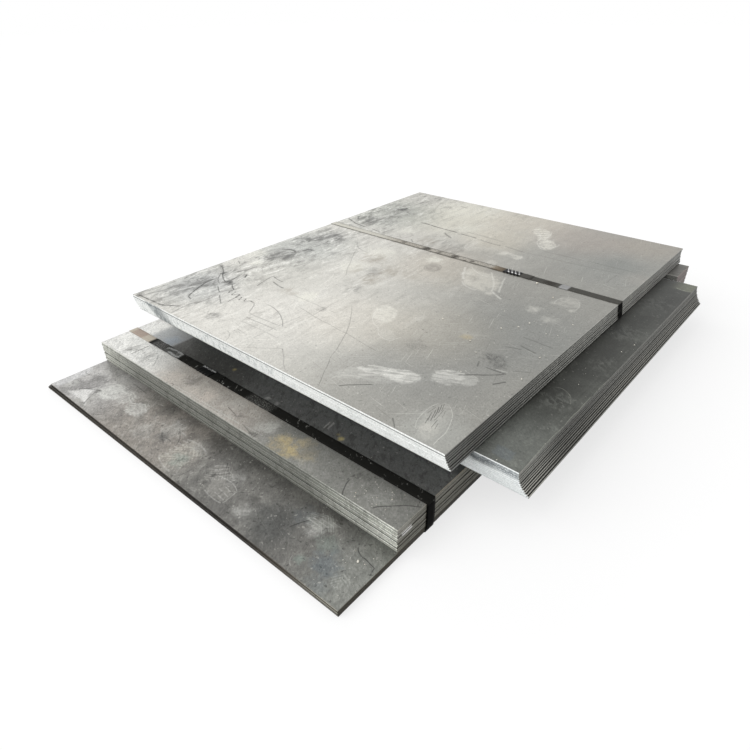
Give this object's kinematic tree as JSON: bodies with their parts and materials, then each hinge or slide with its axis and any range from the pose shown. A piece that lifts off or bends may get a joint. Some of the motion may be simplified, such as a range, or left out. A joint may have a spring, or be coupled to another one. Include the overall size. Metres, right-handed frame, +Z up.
{
  "type": "stack of steel plates",
  "caption": "Stack of flat sheared steel plates in staggered packs, two of them held by flat steel strap: raw stock as it lies on a yard floor.",
  "frame": {"origin": "middle of the stack's bounding box, on the floor", "axes": "+Y along the plates' length, from the stepped near end to the far end; +X across their width, to the side where the middle pack overhangs; +Z up"},
  "size_m": [1.4378, 2.0074, 0.2202],
  "materials": {
    "top_steel": "rolled grey plate with pale sheen, shoe prints, smears and scratches",
    "middle_steel": "dark grey rolled plate, dull, bright sheared ends",
    "end_steel": "dark rolled strips with brown sheared edges",
    "lower_steel": "mid grey rolled plate, brown rust lines along the long edges",
    "base_steel": "grey rolled plate, scuffed and walked on, dark end edge",
    "strap_paint": "black lacquered steel strap, glossy",
    "seal_steel": "dark crimped steel seal with bright worn edges"
  },
  "bodies": {
    "root": {"base_plate_01": "base_steel", "base_plate_02": "base_steel", "base_plate_03": "base_steel", "lower_plate_01": "lower_steel", "lower_plate_02": "lower_steel", "lower_plate_03": "lower_steel", "lower_plate_04": "lower_steel", "lower_plate_05": "lower_steel", "lower_plate_06": "lower_steel", "lower_plate_07": "lower_steel", "lower_plate_08": "lower_steel", "lower_plate_09": "lower_steel", "lower_plate_10": "lower_steel", "lower_plate_11": "lower_steel", "middle_plate_01": "middle_steel", "middle_plate_02": "middle_steel", "middle_plate_03": "middle_steel", "middle_plate_04": "middle_steel", "middle_plate_05": "middle_steel", "middle_plate_06": "middle_steel", "middle_plate_07": "middle_steel", "middle_plate_08": "middle_steel", "middle_plate_09": "middle_steel", "middle_plate_10": "middle_steel", "middle_plate_11": "middle_steel", "middle_plate_12": "middle_steel", "end_strip_01": "end_steel", "end_strip_02": "end_steel", "end_strip_03": "end_steel", "end_strip_04": "end_steel", "end_strip_05": "end_steel", "end_strip_06": "end_steel", "end_strip_07": "end_steel", "end_strip_08": "end_steel", "end_strip_09": "end_steel", "end_strip_10": "end_steel", "end_strip_11": "end_steel", "end_strip_12": "end_steel", "top_plate_01": "top_steel", "top_plate_02": "top_steel", "top_plate_03": "top_steel", "top_plate_04": "top_steel", "top_plate_05": "top_steel", "top_plate_06": "top_steel", "top_plate_07": "top_steel", "top_plate_08": "top_steel", "lower_strap": "strap_paint", "lower_seal": "seal_steel", "top_strap": "strap_paint", "top_seal": "seal_steel"}
  },
  "joints": []
}
